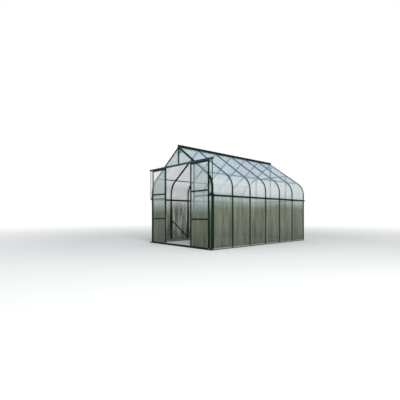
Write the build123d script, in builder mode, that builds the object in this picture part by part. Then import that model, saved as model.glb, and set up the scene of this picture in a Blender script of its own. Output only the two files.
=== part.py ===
from build123d import *
import os
from math import cos, radians, sin, tan

os.makedirs("parts", exist_ok=True)

# A walk-in greenhouse of seven bent arch ribs, clad in twin-wall sheet.
# X runs across the gables, +Y from the front gable to the back one, Z up.
# The origin is the middle of the footprint, on the ground.

# House
bay_count = 6
bay_pitch = 620.0
wall_half = 1170.0          # centre line to the middle of a wall sheet
roof_pitch = 35.5           # degrees
eave_radius = 440.0         # bend of the sheets between wall and roof
sheet_apex = 2385.0         # height at which the two roof sheets would meet
eave_rail_drop = 158.0      # from the start of the bend down to the eave rails
tie_beam_drop = 442.0       # from there down to the middle of the tie beams
purlin_drop = 80.0          # from the end of the bend up the slope
purlin_leg = 30.0

# Sheet and the extrusions that hold it
sheet = 6.0
fit_gap = 0.3               # play beside a sheet in its slot
edge_gap = 2.0              # play at the edge of a sheet
over = 1.0                  # how far a cutter reaches past what it cuts
bar_wall = 3.0
cap_width = 32.0
seat_width = 26.0
web_width = 10.0
stem_wall = 4.0
bar_depth = 26.0            # from the middle of the sheet to the inner foot
foot_width = 14.0
slot = sheet + 2 * fit_gap
face = slot / 2 + bar_wall  # from the middle of a sheet to the outer face

# Corner bar, an angle with a slot for the wall and one for the gable
gable_lead = 12.0           # gable sheet stands this far outside the end rib
corner_leg = 28.0
corner_back = 14.0
gable_sheet_setback = 14.0

# Base frame
base_height = 40.0
base_foot = 45.0
base_lip = 25.0
base_shelf = 12.0

# Ridge bar
ridge_half = 20.0
ridge_drop = 24.0           # bottom of the bar, below the meeting point of the sheets
ridge_rise = 50.0           # top of the bar, above it
ridge_flange = 12.0
ridge_overhang = 3.0

# Eave rail, outside the ribs
eave_rail_size = 34.0
eave_rail_depth = 14.0
eave_rail_overhang = 28.0
joiner_flange = 44.0        # inner flange of the joiners behind it
bracket_plate = 3.0
bracket_rise = 86.0         # from the middle of the rail to the top of its corner brackets
bracket_end = 34.0          # height of their two ends above the same line
bracket_flat = 24.0
bracket_reach = {"gable": 80.0, "wall": 62.0}

# Doorway and doors
jamb_offset = 52.0          # from the roof line at the tie beam in to the middle of a jamb
door_lap = 35.0             # how far a closed leaf reaches past its jamb
door_bottom = 12.0
door_drop = 5.0             # from the door rail down to the top of a leaf
door_depth = 22.0
door_bar = 30.0
door_panes = 3
door_park = 70.0            # from the side wall to the outer edge of a leaf as it stands open
groove = 9.0
rail_depth = 40.0
rail_height = 38.0
rail_wall = 3.0
rail_slot = 10.0
rail_overhang = 42.0
track_overhang = 14.0
track_lip = 18.0
track_back = 30.0
wheel_radius = 12.0
wheel_width = 8.0
hanger_plate = 4.0
hanger_width = 40.0
hanger_inset = 90.0
strut_width = 18.0
strut_wall = 8.0
strut_inset = 2.0           # from the end of the eave rail
brace_width = 30.0
brace_rise = 560.0

# Worked out from the sizes above
house_length = bay_count * bay_pitch
tie_beam_height = sheet_apex - tie_beam_drop
ridge_bottom = sheet_apex - ridge_drop
ridge_top = sheet_apex + ridge_rise
door_rail_bottom = tie_beam_height - rail_height / 2
door_rail_top = tie_beam_height + rail_height / 2
door_top = door_rail_bottom - door_drop
rib_half = house_length / 2
gable_half = rib_half + gable_lead
slope = radians(roof_pitch)
bend_turn = 90 - roof_pitch
bend_run = eave_radius * tan(radians(bend_turn / 2))
corner_height = sheet_apex - wall_half * tan(slope)
bend_start = corner_height - bend_run
eave_rail_height = bend_start - eave_rail_drop
outer_half = wall_half + face
outer_gable = gable_half + face
leaf_plane = outer_gable + rail_depth / 2
jamb_x = tie_beam_drop / tan(slope) - jamb_offset
door_width = jamb_x + cap_width / 2 + door_lap
sides = {"left": -1, "right": 1}


def roof_height(x, lift=0.0):
    """Height of the roof at x, on a line lifted square from the sheet's middle."""
    return sheet_apex + lift / cos(slope) - x * tan(slope)


def arch_line(lift, foot, end_x):
    """Wall, bend and rafter of the right half, as the edges of the open line."""
    radius = eave_radius + lift
    wall = Line((wall_half + lift, foot), (wall_half + lift, bend_start))
    bend = JernArc(start=wall @ 1, tangent=wall % 1, radius=radius, arc_size=bend_turn)
    rafter = Line(bend @ 1, (end_x, roof_height(end_x, lift)))
    return wall, bend, rafter


def strip(a0, a1, b0, b1):
    """One flat wall of a section, between a0 and a1 and between b0 and b1."""
    with Locations(((a0 + a1) / 2, (b0 + b1) / 2)):
        Rectangle(a1 - a0, b1 - b0)


def bar_section():
    """Glazing bar: outer cap, web between two sheets, seat, stem and foot."""
    strip(-cap_width / 2, cap_width / 2, slot / 2, face)
    strip(-web_width / 2, web_width / 2, -slot / 2, slot / 2)
    strip(-seat_width / 2, seat_width / 2, -face, -slot / 2)
    strip(-stem_wall / 2, stem_wall / 2, -bar_depth, -face)
    strip(-foot_width / 2, foot_width / 2, -bar_depth, bar_wall - bar_depth)


def corner_section(end):
    """Corner bar: wall slot on one side, gable slot on the other."""
    out = gable_lead + face
    back = gable_lead - face
    strip(*sorted((-end * corner_back, end * out)), slot / 2, face)
    strip(*sorted((end * out, end * (out - bar_wall))), -corner_leg, face)
    strip(*sorted((end * back, end * (back + bar_wall))), -corner_leg, -face)
    strip(*sorted((-end * seat_width / 2, end * out)), -face, -slot / 2)
    strip(*sorted((end * web_width / 2, end * out)), -slot / 2, slot / 2)


def base_section():
    """Base frame: foot, two walls with a sheet slot between them and an inner lip."""
    strip(-base_foot, face, 0, bar_wall)
    strip(slot / 2, face, 0, base_height)
    strip(-face, -slot / 2, 0, base_height)
    strip(-face, face, base_shelf - bar_wall, base_shelf)
    strip(-base_foot, bar_wall - base_foot, 0, base_lip)


def post_plane(x, z, end):
    """Section plane of an upright gable bar, its y axis pointing outwards."""
    return Plane(origin=(x, end * gable_half, z), x_dir=(end, 0, 0), z_dir=(0, 0, 1))


def rail_plane(x, z, end):
    """Section plane of a level gable bar, its y axis pointing outwards."""
    return Plane(origin=(x, end * gable_half, z), x_dir=(0, 0, 1), z_dir=(-end, 0, 0))


def gable_sheet_plane(end):
    """Inner face of a gable sheet, drawn in X and Z."""
    inner = gable_half - sheet / 2 if end > 0 else -gable_half - sheet / 2
    return Plane(origin=(0, inner, 0), x_dir=(1, 0, 0), z_dir=(0, -1, 0))


def under_arch(lift, foot):
    """Face of everything inside the arch line at this lift."""
    with BuildLine() as half_outline:
        wall, bend, rafter = arch_line(lift, foot, 0)
        Line(rafter @ 1, (0, foot))
        Line((0, foot), wall @ 0)
    make_face(half_outline.edges())
    mirror(about=Plane.YZ)


def window(x0, x1, z0, z1, mode=Mode.INTERSECT):
    """Rectangle between two heights, kept or cut in the current sketch."""
    with Locations(((x0 + x1) / 2, (z0 + z1) / 2)):
        Rectangle(x1 - x0, z1 - z0, mode=mode)


# Arch ribs, a left and a right one at each station, in one length from base to ridge
for station in range(bay_count + 1):
    station_y = station * bay_pitch - rib_half
    with BuildPart() as arch_rib:
        with BuildLine(Plane.XZ.offset(-station_y)) as rib_path:
            arch_line(0, base_height, 0)
        foot_plane = Plane(origin=(wall_half, station_y, base_height), x_dir=(0, -1, 0))
        with BuildSketch(foot_plane):
            if station == 0:
                corner_section(1)
            elif station == bay_count:
                corner_section(-1)
            else:
                bar_section()
        sweep(path=rib_path.line)
        split(bisect_by=Plane.YZ.offset(ridge_half), keep=Keep.TOP)
        mirror(about=Plane.YZ)
    arch_rib.part.label = f"arch_rib_{station + 1}"
    export_step(arch_rib.part, f"parts/arch_rib_{station + 1}.step")

# Ridge bar, a hollow box with a flange on each side over the ribs and the roof sheets
ridge_length = 2 * (outer_gable + ridge_overhang)
with BuildPart() as ridge_bar:
    with BuildSketch(Plane.XZ.offset(-ridge_length / 2)):
        with BuildLine():
            Polyline(
                (0, ridge_bottom),
                (ridge_half, ridge_bottom),
                (ridge_half, roof_height(ridge_half, face)),
                (ridge_half + ridge_flange, roof_height(ridge_half + ridge_flange, face)),
                (ridge_half + ridge_flange, roof_height(ridge_half + ridge_flange, face + bar_wall)),
                (ridge_half, roof_height(ridge_half, face + bar_wall)),
                (ridge_half, ridge_top - ridge_half / 2),
                (ridge_half / 2, ridge_top),
                (0, ridge_top),
                close=True,
            )
        make_face()
        mirror(about=Plane.YZ)
        window(bar_wall - ridge_half, ridge_half - bar_wall, ridge_bottom + bar_wall,
               ridge_top - ridge_half / 2, mode=Mode.SUBTRACT)
    extrude(amount=ridge_length)
ridge_bar.part.label = "ridge_bar"
export_step(ridge_bar.part, "parts/ridge_bar.step")

# Base frame, mitred at its four corners, the two sides and then the two ends
with BuildPart() as base_sides:
    with BuildSketch(Plane(origin=(wall_half, outer_gable, 0), x_dir=(1, 0, 0), z_dir=(0, -1, 0))):
        base_section()
    extrude(amount=2 * outer_gable)
    for end in (-1, 1):
        mitre = Plane(origin=(outer_half, end * outer_gable, 0), z_dir=(-1, end, 0))
        split(bisect_by=mitre, keep=Keep.BOTTOM)
    mirror(about=Plane.YZ)
base_sides.part.label = "base_sides"
export_step(base_sides.part, "parts/base_sides.step")

with BuildPart() as base_ends:
    with BuildSketch(Plane(origin=(-outer_half, gable_half, 0), x_dir=(0, 1, 0), z_dir=(1, 0, 0))):
        base_section()
    extrude(amount=2 * outer_half)
    for sign in (-1, 1):
        mitre = Plane(origin=(sign * outer_half, outer_gable, 0), z_dir=(sign, -1, 0))
        split(bisect_by=mitre, keep=Keep.BOTTOM)
    mirror(about=Plane.XZ)
base_ends.part.label = "base_ends"
export_step(base_ends.part, "parts/base_ends.step")

# Eave rails outside the ribs, a channel with its open side inwards
rail_run = 2 * (outer_gable + eave_rail_overhang)
rail_edge = eave_rail_size / 2
with BuildPart() as eave_rails:
    eave_plane = Plane(origin=(outer_half, rail_run / 2, eave_rail_height), x_dir=(1, 0, 0),
                       z_dir=(0, -1, 0))
    with BuildSketch(eave_plane):
        strip(eave_rail_depth - bar_wall, eave_rail_depth, -rail_edge, rail_edge)
        strip(0, eave_rail_depth, rail_edge - bar_wall, rail_edge)
        strip(0, eave_rail_depth, -rail_edge, bar_wall - rail_edge)
    extrude(amount=rail_run)
    mirror(about=Plane.YZ)
eave_rails.part.label = "eave_rails"
export_step(eave_rails.part, "parts/eave_rails.step")

# Brackets on the two front corners, over the ends of the eave rails, each a bent plate
rail_top = eave_rail_height + rail_edge
bracket_top = eave_rail_height + bracket_rise
bracket_low = eave_rail_height + bracket_end
wrap = outer_half + bracket_plate
with BuildPart() as eave_brackets:
    with BuildSketch(Plane.XZ.offset(outer_gable)):
        with BuildLine():
            Polyline(
                (outer_half, eave_rail_height - rail_edge),
                (outer_half, rail_top),
                (wrap, rail_top),
                (wrap, bracket_top),
                (outer_half - bracket_flat, bracket_top),
                (outer_half - bracket_reach["gable"], bracket_low),
                (outer_half - bracket_reach["gable"], eave_rail_height - rail_edge),
                close=True,
            )
        make_face()
    extrude(amount=bracket_plate)
    with BuildSketch(Plane.YZ.offset(outer_half)):
        with BuildLine():
            Polyline(
                (-outer_gable, rail_top),
                (-outer_gable, bracket_top),
                (bracket_flat - outer_gable, bracket_top),
                (bracket_reach["wall"] - outer_gable, bracket_low),
                (bracket_reach["wall"] - outer_gable, rail_top),
                close=True,
            )
        make_face()
    extrude(amount=bracket_plate)
    mirror(about=Plane.YZ)
eave_brackets.part.label = "eave_brackets"
export_step(eave_brackets.part, "parts/eave_brackets.step")

# Joiners between the lower and the upper sheet of each bay, an H of two flanges and a web
with BuildPart() as eave_joiners:
    for bay in range(bay_count):
        trim_front = corner_back if bay == 0 else cap_width / 2
        trim_back = corner_back if bay == bay_count - 1 else cap_width / 2
        start_y = bay * bay_pitch - rib_half + trim_front
        end_y = (bay + 1) * bay_pitch - rib_half - trim_back
        joiner_plane = Plane(origin=(wall_half, end_y, eave_rail_height), x_dir=(1, 0, 0), z_dir=(0, -1, 0))
        with BuildSketch(joiner_plane):
            strip(slot / 2, face, -seat_width / 2, seat_width / 2)
            strip(-face, -slot / 2, -joiner_flange / 2, joiner_flange / 2)
            strip(-slot / 2, slot / 2, -bar_wall / 2, bar_wall / 2)
        extrude(amount=end_y - start_y)
    mirror(about=Plane.YZ)
eave_joiners.part.label = "eave_joiners"
export_step(eave_joiners.part, "parts/eave_joiners.step")

# Wall sheets, one flat sheet to a bay below the eave rail
sheet_width = bay_pitch - web_width - 2 * edge_gap
joint = bar_wall / 2 + fit_gap
for side, sign in sides.items():
    with BuildPart() as wall_sheets:
        for bay in range(bay_count):
            middle_y = (bay + 0.5) * bay_pitch - rib_half
            sheet_plane = Plane(origin=(sign * wall_half - sheet / 2, middle_y, 0),
                                x_dir=(0, 1, 0), z_dir=(1, 0, 0))
            with BuildSketch(sheet_plane):
                window(-sheet_width / 2, sheet_width / 2, base_shelf + fit_gap,
                       eave_rail_height - joint, mode=Mode.ADD)
            extrude(amount=sheet)
    wall_sheets.part.label = f"wall_sheets_{side}"
    export_step(wall_sheets.part, f"parts/wall_sheets_{side}.step")

# Roof sheets, bent over the eave and up to the ridge bar, a left and a right one to a bay
for bay in range(bay_count):
    middle_y = (bay + 0.5) * bay_pitch - rib_half
    sheet_foot = eave_rail_height + joint
    with BuildPart() as roof_sheets:
        with BuildSketch(Plane.XZ.offset(-middle_y - sheet_width / 2)):
            with BuildLine():
                low = arch_line(-sheet / 2, sheet_foot, ridge_half + fit_gap)
                high = arch_line(sheet / 2, sheet_foot, ridge_half + fit_gap)
                Line(low[0] @ 0, high[0] @ 0)
                Line(low[2] @ 1, high[2] @ 1)
            make_face()
        extrude(amount=sheet_width)
        mirror(about=Plane.YZ)
    roof_sheets.part.label = f"roof_sheets_{bay + 1}"
    export_step(roof_sheets.part, f"parts/roof_sheets_{bay + 1}.step")

# Purlins under the ribs, just above the bend, an angle on each slope
purlin_x = wall_half - bend_run * cos(slope) - purlin_drop * cos(slope)
purlin_half = gable_half - face - edge_gap
with BuildPart() as purlins:
    purlin_point = (purlin_x, -purlin_half, roof_height(purlin_x, -bar_depth))
    purlin_plane = Plane(origin=purlin_point, x_dir=(cos(slope), 0, -sin(slope)), z_dir=(0, 1, 0))
    with BuildSketch(purlin_plane):
        strip(-purlin_leg / 2, purlin_leg / 2, 0, bar_wall)
        strip(-purlin_leg / 2, bar_wall - purlin_leg / 2, 0, purlin_leg)
    extrude(amount=2 * purlin_half)
    mirror(about=Plane.YZ)
purlins.part.label = "purlins"
export_step(purlins.part, "parts/purlins.step")

# Diagonal brace, a flat bar on the feet of the left side's second and third ribs
brace_y0 = bay_pitch - rib_half
with BuildPart() as wall_brace:
    brace_plane = Plane(origin=(bar_depth - wall_half, brace_y0, base_height), x_dir=(0, 1, 0),
                        z_dir=(1, 0, 0))
    with BuildSketch(brace_plane):
        with BuildLine():
            brace_line = Line((0, brace_rise), (bay_pitch, brace_width))
        trace(line_width=brace_width)
    extrude(amount=bar_wall)
wall_brace.part.label = "wall_brace"
export_step(wall_brace.part, "parts/wall_brace.step")

# Gable posts: the two door jambs in front, the same two and a middle post at the back
beam_bottom = tie_beam_height - cap_width / 2
beam_top = tie_beam_height + cap_width / 2


def cut_under_arch(end):
    """Keeps only what lies inside the inner edge of the corner rib's leg."""
    deep = bar_depth + face + 2 * over
    start = -outer_gable - over if end < 0 else gable_half - bar_depth - over
    with BuildSketch(Plane.XZ.offset(-start - deep)) as inside:
        under_arch(-corner_leg, 0)
    extrude(inside.sketch, amount=deep, mode=Mode.INTERSECT)


with BuildPart() as door_jambs:
    for sign in (-1, 1):
        with BuildSketch(post_plane(sign * jamb_x, base_height, -1)):
            bar_section()
        extrude(amount=beam_top - base_height)
    cut_under_arch(-1)
door_jambs.part.label = "door_jambs"
export_step(door_jambs.part, "parts/door_jambs.step")

with BuildPart() as back_posts:
    for sign in (-1, 1):
        with BuildSketch(post_plane(sign * jamb_x, base_height, 1)):
            bar_section()
        extrude(amount=beam_top - base_height)
    with BuildSketch(post_plane(0, base_height, 1)):
        bar_section()
    extrude(amount=beam_bottom - base_height)
    cut_under_arch(1)
back_posts.part.label = "back_posts"
export_step(back_posts.part, "parts/back_posts.step")

# Tie beams between the sloping legs of the first and the last rib
with BuildPart() as tie_beams:
    with BuildSketch(rail_plane(wall_half, tie_beam_height, 1)):
        bar_section()
    extrude(amount=2 * wall_half)
    cut_under_arch(1)
    for sign, kept in {-1: Keep.TOP, 1: Keep.BOTTOM}.items():
        split(bisect_by=Plane.YZ.offset(sign * (jamb_x - cap_width / 2)), keep=kept)
    mirror(about=Plane.XZ)
tie_beams.part.label = "tie_beams"
export_step(tie_beams.part, "parts/tie_beams.step")

# King posts, from the tie beams to the peak
with BuildPart() as king_posts:
    with BuildSketch(post_plane(0, beam_top, 1)):
        bar_section()
    extrude(amount=ridge_bottom - beam_top)
    cut_under_arch(1)
    mirror(about=Plane.XZ)
king_posts.part.label = "king_posts"
export_step(king_posts.part, "parts/king_posts.step")

# Gable rails at the height of the eave rails
rail_end = wall_half - corner_leg
with BuildPart() as gable_rails:
    for sign in (-1, 1):
        start_x = rail_end if sign > 0 else -jamb_x - cap_width / 2
        with BuildSketch(rail_plane(-start_x, eave_rail_height, -1)):
            bar_section()
        extrude(amount=rail_end - jamb_x - cap_width / 2)
    for x0, x1 in ((-rail_end, -jamb_x), (-jamb_x, 0), (0, jamb_x), (jamb_x, rail_end)):
        left_trim = 0 if x0 == -rail_end else cap_width / 2
        right_trim = 0 if x1 == rail_end else cap_width / 2
        with BuildSketch(rail_plane(x1 - right_trim, eave_rail_height, 1)):
            bar_section()
        extrude(amount=x1 - x0 - left_trim - right_trim)
gable_rails.part.label = "gable_rails"
export_step(gable_rails.part, "parts/gable_rails.step")

# Gable sheets, cut to the arch where they meet the corner bars
beside = web_width / 2 + edge_gap
low_z0 = base_shelf + fit_gap
low_z1 = eave_rail_height - beside
high_z0 = eave_rail_height + beside
high_z1 = tie_beam_height - beside
peak_z0 = tie_beam_height + beside
peak_z1 = ridge_bottom - edge_gap


def gable_sheets(end, bays, z0, z1):
    """One sheet in each bay between two posts, cut to the arch."""
    for x0, x1 in bays:
        with BuildSketch(gable_sheet_plane(end)) as outline:
            under_arch(-gable_sheet_setback, low_z0)
            window(x0, x1, z0, z1)
        extrude(outline.sketch, amount=-sheet)


outer_bays = [(-wall_half, -jamb_x - beside), (jamb_x + beside, wall_half)]
middle_bays = [(-jamb_x + beside, -beside), (beside, jamb_x - beside)]
back_bays = outer_bays + middle_bays
peak_bays = [(-wall_half, -beside), (beside, wall_half)]

sheet_rows = {
    "front_lower_sheets": (-1, outer_bays, low_z0, low_z1),
    "front_upper_sheets": (-1, outer_bays, high_z0, high_z1),
    "front_peak_sheets": (-1, peak_bays, peak_z0, peak_z1),
    "back_lower_sheets": (1, back_bays, low_z0, low_z1),
    "back_upper_sheets": (1, back_bays, high_z0, high_z1),
    "back_peak_sheets": (1, peak_bays, peak_z0, peak_z1),
}
for name, row in sheet_rows.items():
    with BuildPart() as row_of_sheets:
        gable_sheets(*row)
    row_of_sheets.part.label = name
    export_step(row_of_sheets.part, f"parts/{name}.step")

# Door rail, a box track open below along a slot
door_rail_half = outer_half + rail_overhang
rail_section_plane = Plane(origin=(-door_rail_half, -leaf_plane, 0), x_dir=(0, 1, 0), z_dir=(1, 0, 0))
with BuildPart() as door_rail:
    with BuildSketch(rail_section_plane):
        window(-rail_depth / 2, rail_depth / 2, door_rail_bottom, door_rail_top, mode=Mode.ADD)
        window(rail_wall - rail_depth / 2, rail_depth / 2 - rail_wall, door_rail_bottom + rail_wall,
               door_rail_top - rail_wall, mode=Mode.SUBTRACT)
        window(-rail_slot / 2, rail_slot / 2, door_rail_bottom - over, door_rail_bottom + rail_wall,
               mode=Mode.SUBTRACT)
    extrude(amount=2 * door_rail_half)
door_rail.part.label = "door_rail"
export_step(door_rail.part, "parts/door_rail.step")

# Struts that hold up the ends of the door rail, flat bars on the front ends of the eave rails
strut_x = outer_half + eave_rail_depth + strut_wall / 2
strut_y = strut_inset + strut_width / 2 - rail_run / 2
strut_foot = eave_rail_height - rail_edge
with BuildPart() as rail_struts:
    with BuildSketch(Plane(origin=(strut_x, strut_y, strut_foot))):
        Rectangle(strut_wall, strut_width)
    extrude(amount=door_rail_bottom - strut_foot)
    mirror(about=Plane.YZ)
rail_struts.part.label = "rail_struts"
export_step(rail_struts.part, "parts/rail_struts.step")

# Bottom track in front of the base, a low channel that guides the leaves
track_half = outer_half + track_overhang
track_plane = Plane(origin=(-track_half, -leaf_plane, 0), x_dir=(0, 1, 0), z_dir=(1, 0, 0))
with BuildPart() as door_track:
    with BuildSketch(track_plane):
        window(-rail_depth / 2, rail_depth / 2, 0, bar_wall, mode=Mode.ADD)
        window(-rail_depth / 2, rail_wall - rail_depth / 2, 0, track_lip, mode=Mode.ADD)
        window(rail_depth / 2 - rail_wall, rail_depth / 2, 0, track_back, mode=Mode.ADD)
    extrude(amount=2 * track_half)
door_track.part.label = "door_track"
export_step(door_track.part, "parts/door_track.step")

# Sliding doors, two leaves that part from the middle
leaf_height = door_top - door_bottom
pane_pitch = (leaf_height - door_bar) / door_panes
bar_heights = [door_bottom + door_bar / 2 + row * pane_pitch for row in range(door_panes + 1)]
inner_width = door_width - 2 * door_bar
wheel_height = door_rail_bottom + rail_wall + fit_gap + wheel_radius
for side, sign in sides.items():
    leaf_middle = sign * (wall_half - door_park - door_width / 2)
    leaf_back = Plane(origin=(leaf_middle, -leaf_plane + door_depth / 2, 0), x_dir=(1, 0, 0),
                      z_dir=(0, -1, 0))
    leaf_core = leaf_back.offset((door_depth - slot) / 2)

    with BuildPart() as stiles:
        with BuildSketch(leaf_back):
            with Locations(*[(place * (door_width - door_bar) / 2, door_bottom + leaf_height / 2)
                             for place in (-1, 1)]):
                Rectangle(door_bar, leaf_height)
        extrude(amount=door_depth)
        with BuildSketch(leaf_core):
            window(-inner_width / 2 - groove, inner_width / 2 + groove, door_bottom + door_bar - groove,
                   door_top - door_bar + groove, mode=Mode.ADD)
        extrude(amount=slot, mode=Mode.SUBTRACT)
    stiles.part.label = f"{side}_door_stiles"
    export_step(stiles.part, f"parts/{side}_door_stiles.step")

    with BuildPart() as rails:
        with BuildSketch(leaf_back):
            with Locations(*[(0, height) for height in bar_heights]):
                Rectangle(inner_width, door_bar)
        extrude(amount=door_depth)
        with BuildSketch(leaf_core):
            for low, high in zip(bar_heights, bar_heights[1:]):
                window(-door_width / 2, door_width / 2, low + door_bar / 2 - groove,
                       high - door_bar / 2 + groove, mode=Mode.ADD)
        extrude(amount=slot, mode=Mode.SUBTRACT)
    rails.part.label = f"{side}_door_rails"
    export_step(rails.part, f"parts/{side}_door_rails.step")

    with BuildPart() as panes:
        with BuildSketch(leaf_core.offset(fit_gap)):
            reach = groove - edge_gap / 2
            for low, high in zip(bar_heights, bar_heights[1:]):
                window(-inner_width / 2 - reach, inner_width / 2 + reach, low + door_bar / 2 - reach,
                       high - door_bar / 2 + reach, mode=Mode.ADD)
        extrude(amount=sheet)
    panes.part.label = f"{side}_door_sheets"
    export_step(panes.part, f"parts/{side}_door_sheets.step")

    with BuildPart() as hangers:
        for place in (-1, 1):
            hanger_x = leaf_middle + place * (door_width / 2 - hanger_inset)
            plate_plane = Plane(origin=(hanger_x, -leaf_plane + hanger_plate / 2, 0), x_dir=(1, 0, 0),
                                z_dir=(0, -1, 0))
            with BuildSketch(plate_plane):
                window(-hanger_width / 2, hanger_width / 2, door_top, wheel_height, mode=Mode.ADD)
            extrude(amount=hanger_plate)
            with BuildSketch(plate_plane.offset(hanger_plate / 2)):
                with Locations((0, wheel_height)):
                    Circle(wheel_radius)
            extrude(amount=hanger_plate / 2 + wheel_width, both=True)
    hangers.part.label = f"{side}_door_hangers"
    export_step(hangers.part, f"parts/{side}_door_hangers.step")
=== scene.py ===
import math
import bpy
import bmesh
from mathutils import Matrix, Vector


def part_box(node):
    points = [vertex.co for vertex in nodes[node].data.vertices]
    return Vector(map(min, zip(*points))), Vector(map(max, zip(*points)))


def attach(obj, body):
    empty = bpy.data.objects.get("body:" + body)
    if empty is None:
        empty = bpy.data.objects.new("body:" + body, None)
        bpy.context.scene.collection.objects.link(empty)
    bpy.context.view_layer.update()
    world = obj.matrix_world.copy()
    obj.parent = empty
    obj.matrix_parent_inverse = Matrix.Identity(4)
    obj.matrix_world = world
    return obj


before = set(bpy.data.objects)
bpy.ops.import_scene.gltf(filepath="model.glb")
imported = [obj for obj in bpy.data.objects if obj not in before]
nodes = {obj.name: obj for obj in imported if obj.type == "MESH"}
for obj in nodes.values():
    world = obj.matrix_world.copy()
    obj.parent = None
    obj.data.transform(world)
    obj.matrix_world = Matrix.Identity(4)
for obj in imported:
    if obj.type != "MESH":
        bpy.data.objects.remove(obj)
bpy.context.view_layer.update()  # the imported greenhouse: metres, X right, Y back, Z up
print("frame loaded:", len(nodes), "nodes")

# The camera that the photograph gives
view = {
    "place": (5.634, -6.181, 0.745),
    "turn": 48.41,  # degrees, to the left of straight back
    "focal": 294.0,  # in picture pixels
    "picture": 400,
    "horizon": 215.0,  # picture row of the level line
    "sensor": 36.0,
    "layers": 64,  # a ray crosses many thin webs
}
cameraData = bpy.data.cameras.new("photoCamera")
cameraData.sensor_width = view["sensor"]
cameraData.lens = view["sensor"] * view["focal"] / view["picture"]
cameraData.shift_y = (view["horizon"] / view["picture"]) - 0.5
camera = bpy.data.objects.new("photoCamera", cameraData)
camera.location = view["place"]
camera.rotation_euler = (math.radians(90), 0, math.radians(view["turn"]))
bpy.context.collection.objects.link(camera)
bpy.context.scene.camera = camera
bpy.context.scene.view_settings.view_transform = "Standard"
bpy.context.scene.cycles.transparent_max_bounces = view["layers"]
print("camera set")


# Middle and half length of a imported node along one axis, to a tenth of a millimetre
def middleOf(name, axis):
    low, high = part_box(name)
    return round((low[axis] + high[axis]) / 2, 4)


def halfOf(name, axis):
    low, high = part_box(name)
    return round((high[axis] - low[axis]) / 2, 4)


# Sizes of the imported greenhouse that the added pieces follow, in metres and degrees; the wall, apex, pitch
# and radius are those of the line through the middle of the sheets
house = {
    "bays": 6,
    "bay": round(middleOf("arch_rib_3", 1) - middleOf("arch_rib_2", 1), 4),
    "wall": middleOf("wall_sheets_right", 0),
    "gable": middleOf("back_lower_sheets", 1),
    "apex": 2.385,
    "pitch": 35.5,
    "radius": 0.440,
    "eaveRail": middleOf("eave_rails", 2),
    "tie": middleOf("tie_beams", 2),
    "capHalf": halfOf("arch_rib_2", 1),
    "cap": round(halfOf("arch_rib_2", 0) - middleOf("wall_sheets_right", 0), 4),
    "jamb": round(halfOf("door_jambs", 0) - halfOf("arch_rib_2", 1), 4),
    "sheetHalf": halfOf("roof_sheets_1", 1),
    "sheetEdge": halfOf("front_lower_sheets", 0),
    "sheetFoot": 0.0125,
    "skin": 0.003,  # from the middle of a sheet to its face
    "foot": 0.026,  # and to the inner face of a rib
    "cornerBack": 0.014,  # inner edge of a corner rib's cap, from its middle
    "ridgeHalf": 0.020,
    "railOut": 0.0203,  # upper end of the roof sheets, from the middle
    "leafBar": 0.030,
    "panes": 3,  # of a door leaf, which has one bar more
}
slopeAngle = math.radians(house["pitch"])
drop = math.tan(slopeAngle)
bendTurn = math.radians(90 - house["pitch"])
bendRun = house["radius"] * math.tan(bendTurn / 2)
bendStart = house["apex"] - house["wall"] * drop - bendRun
bendCentre = house["wall"] - house["radius"]
stations = [(i - house["bays"] / 2) * house["bay"] for i in range(house["bays"] + 1)]
capFace = house["wall"] + house["cap"]  # outer faces of the caps on the side walls and on the gables
gableFace = house["gable"] + house["cap"]


# Node helpers
def newMaterial(name):
    material = bpy.data.materials.new(name)
    material.use_nodes = True
    return material, material.node_tree, material.node_tree.nodes["Principled BSDF"]


def addNode(tree, kind, settings=None, **inputs):
    node = tree.nodes.new(kind)
    for key, value in (settings or {}).items():
        setattr(node, key, value)
    for key, value in inputs.items():
        numbered = key.startswith("in") and key[2:].isdigit()
        socket = node.inputs[int(key[2:]) if numbered else key]
        if isinstance(value, bpy.types.NodeSocket):
            tree.links.new(value, socket)
        else:
            socket.default_value = value
    return node


def calc(tree, operation, a, b=0.0, clamp=False):
    node = addNode(tree, "ShaderNodeMath", {"operation": operation, "use_clamp": clamp}, in0=a, in1=b)
    return node.outputs[0]


def plus(tree, a, b, clamp=False):
    return calc(tree, "ADD", a, b, clamp)


def minus(tree, a, b):
    return calc(tree, "SUBTRACT", a, b)


def times(tree, a, b, clamp=False):
    return calc(tree, "MULTIPLY", a, b, clamp)


def noise(tree, vector, scale, detail=3.0, roughness=0.5):
    node = addNode(tree, "ShaderNodeTexNoise", None, Vector=vector, Scale=scale, Detail=detail,
                   Roughness=roughness)
    return node.outputs[0]


# A value held between the ends of one span and mapped onto another
def ramp(tree, value, span, onto=(0.0, 1.0)):
    node = addNode(tree, "ShaderNodeMapRange", {"clamp": True}, Value=value)
    for index, number in enumerate((*span, *onto), start=1):
        node.inputs[index].default_value = number
    return node.outputs[0]


def mixColour(tree, factor, first, second):
    node = addNode(tree, "ShaderNodeMix", {"data_type": "RGBA"}, in0=factor)
    for index, colour in ((6, first), (7, second)):
        if isinstance(colour, bpy.types.NodeSocket):
            tree.links.new(colour, node.inputs[index])
        else:
            node.inputs[index].default_value = (*colour, 1.0)
    return node.outputs[2]


def bump(tree, shader, height, distance, strength):
    node = addNode(tree, "ShaderNodeBump", None, Height=height, Distance=distance, Strength=strength)
    tree.links.new(node.outputs[0], shader.inputs["Normal"])


# The place as a vector and as its X, Y and Z
def placeOf(tree):
    place = addNode(tree, "ShaderNodeTexCoord").outputs["Object"]
    return place, addNode(tree, "ShaderNodeSeparateXYZ", None, Vector=place).outputs


# X, Y and Z of the way a face looks
def facingOf(tree):
    normal = addNode(tree, "ShaderNodeNewGeometry").outputs["Normal"]
    return addNode(tree, "ShaderNodeSeparateXYZ", None, Vector=normal).outputs


# Zero at the middle of every rib, half a bay midway between two
def fromRib(tree, along):
    return calc(tree, "PINGPONG", along, house["bay"] / 2)


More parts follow.
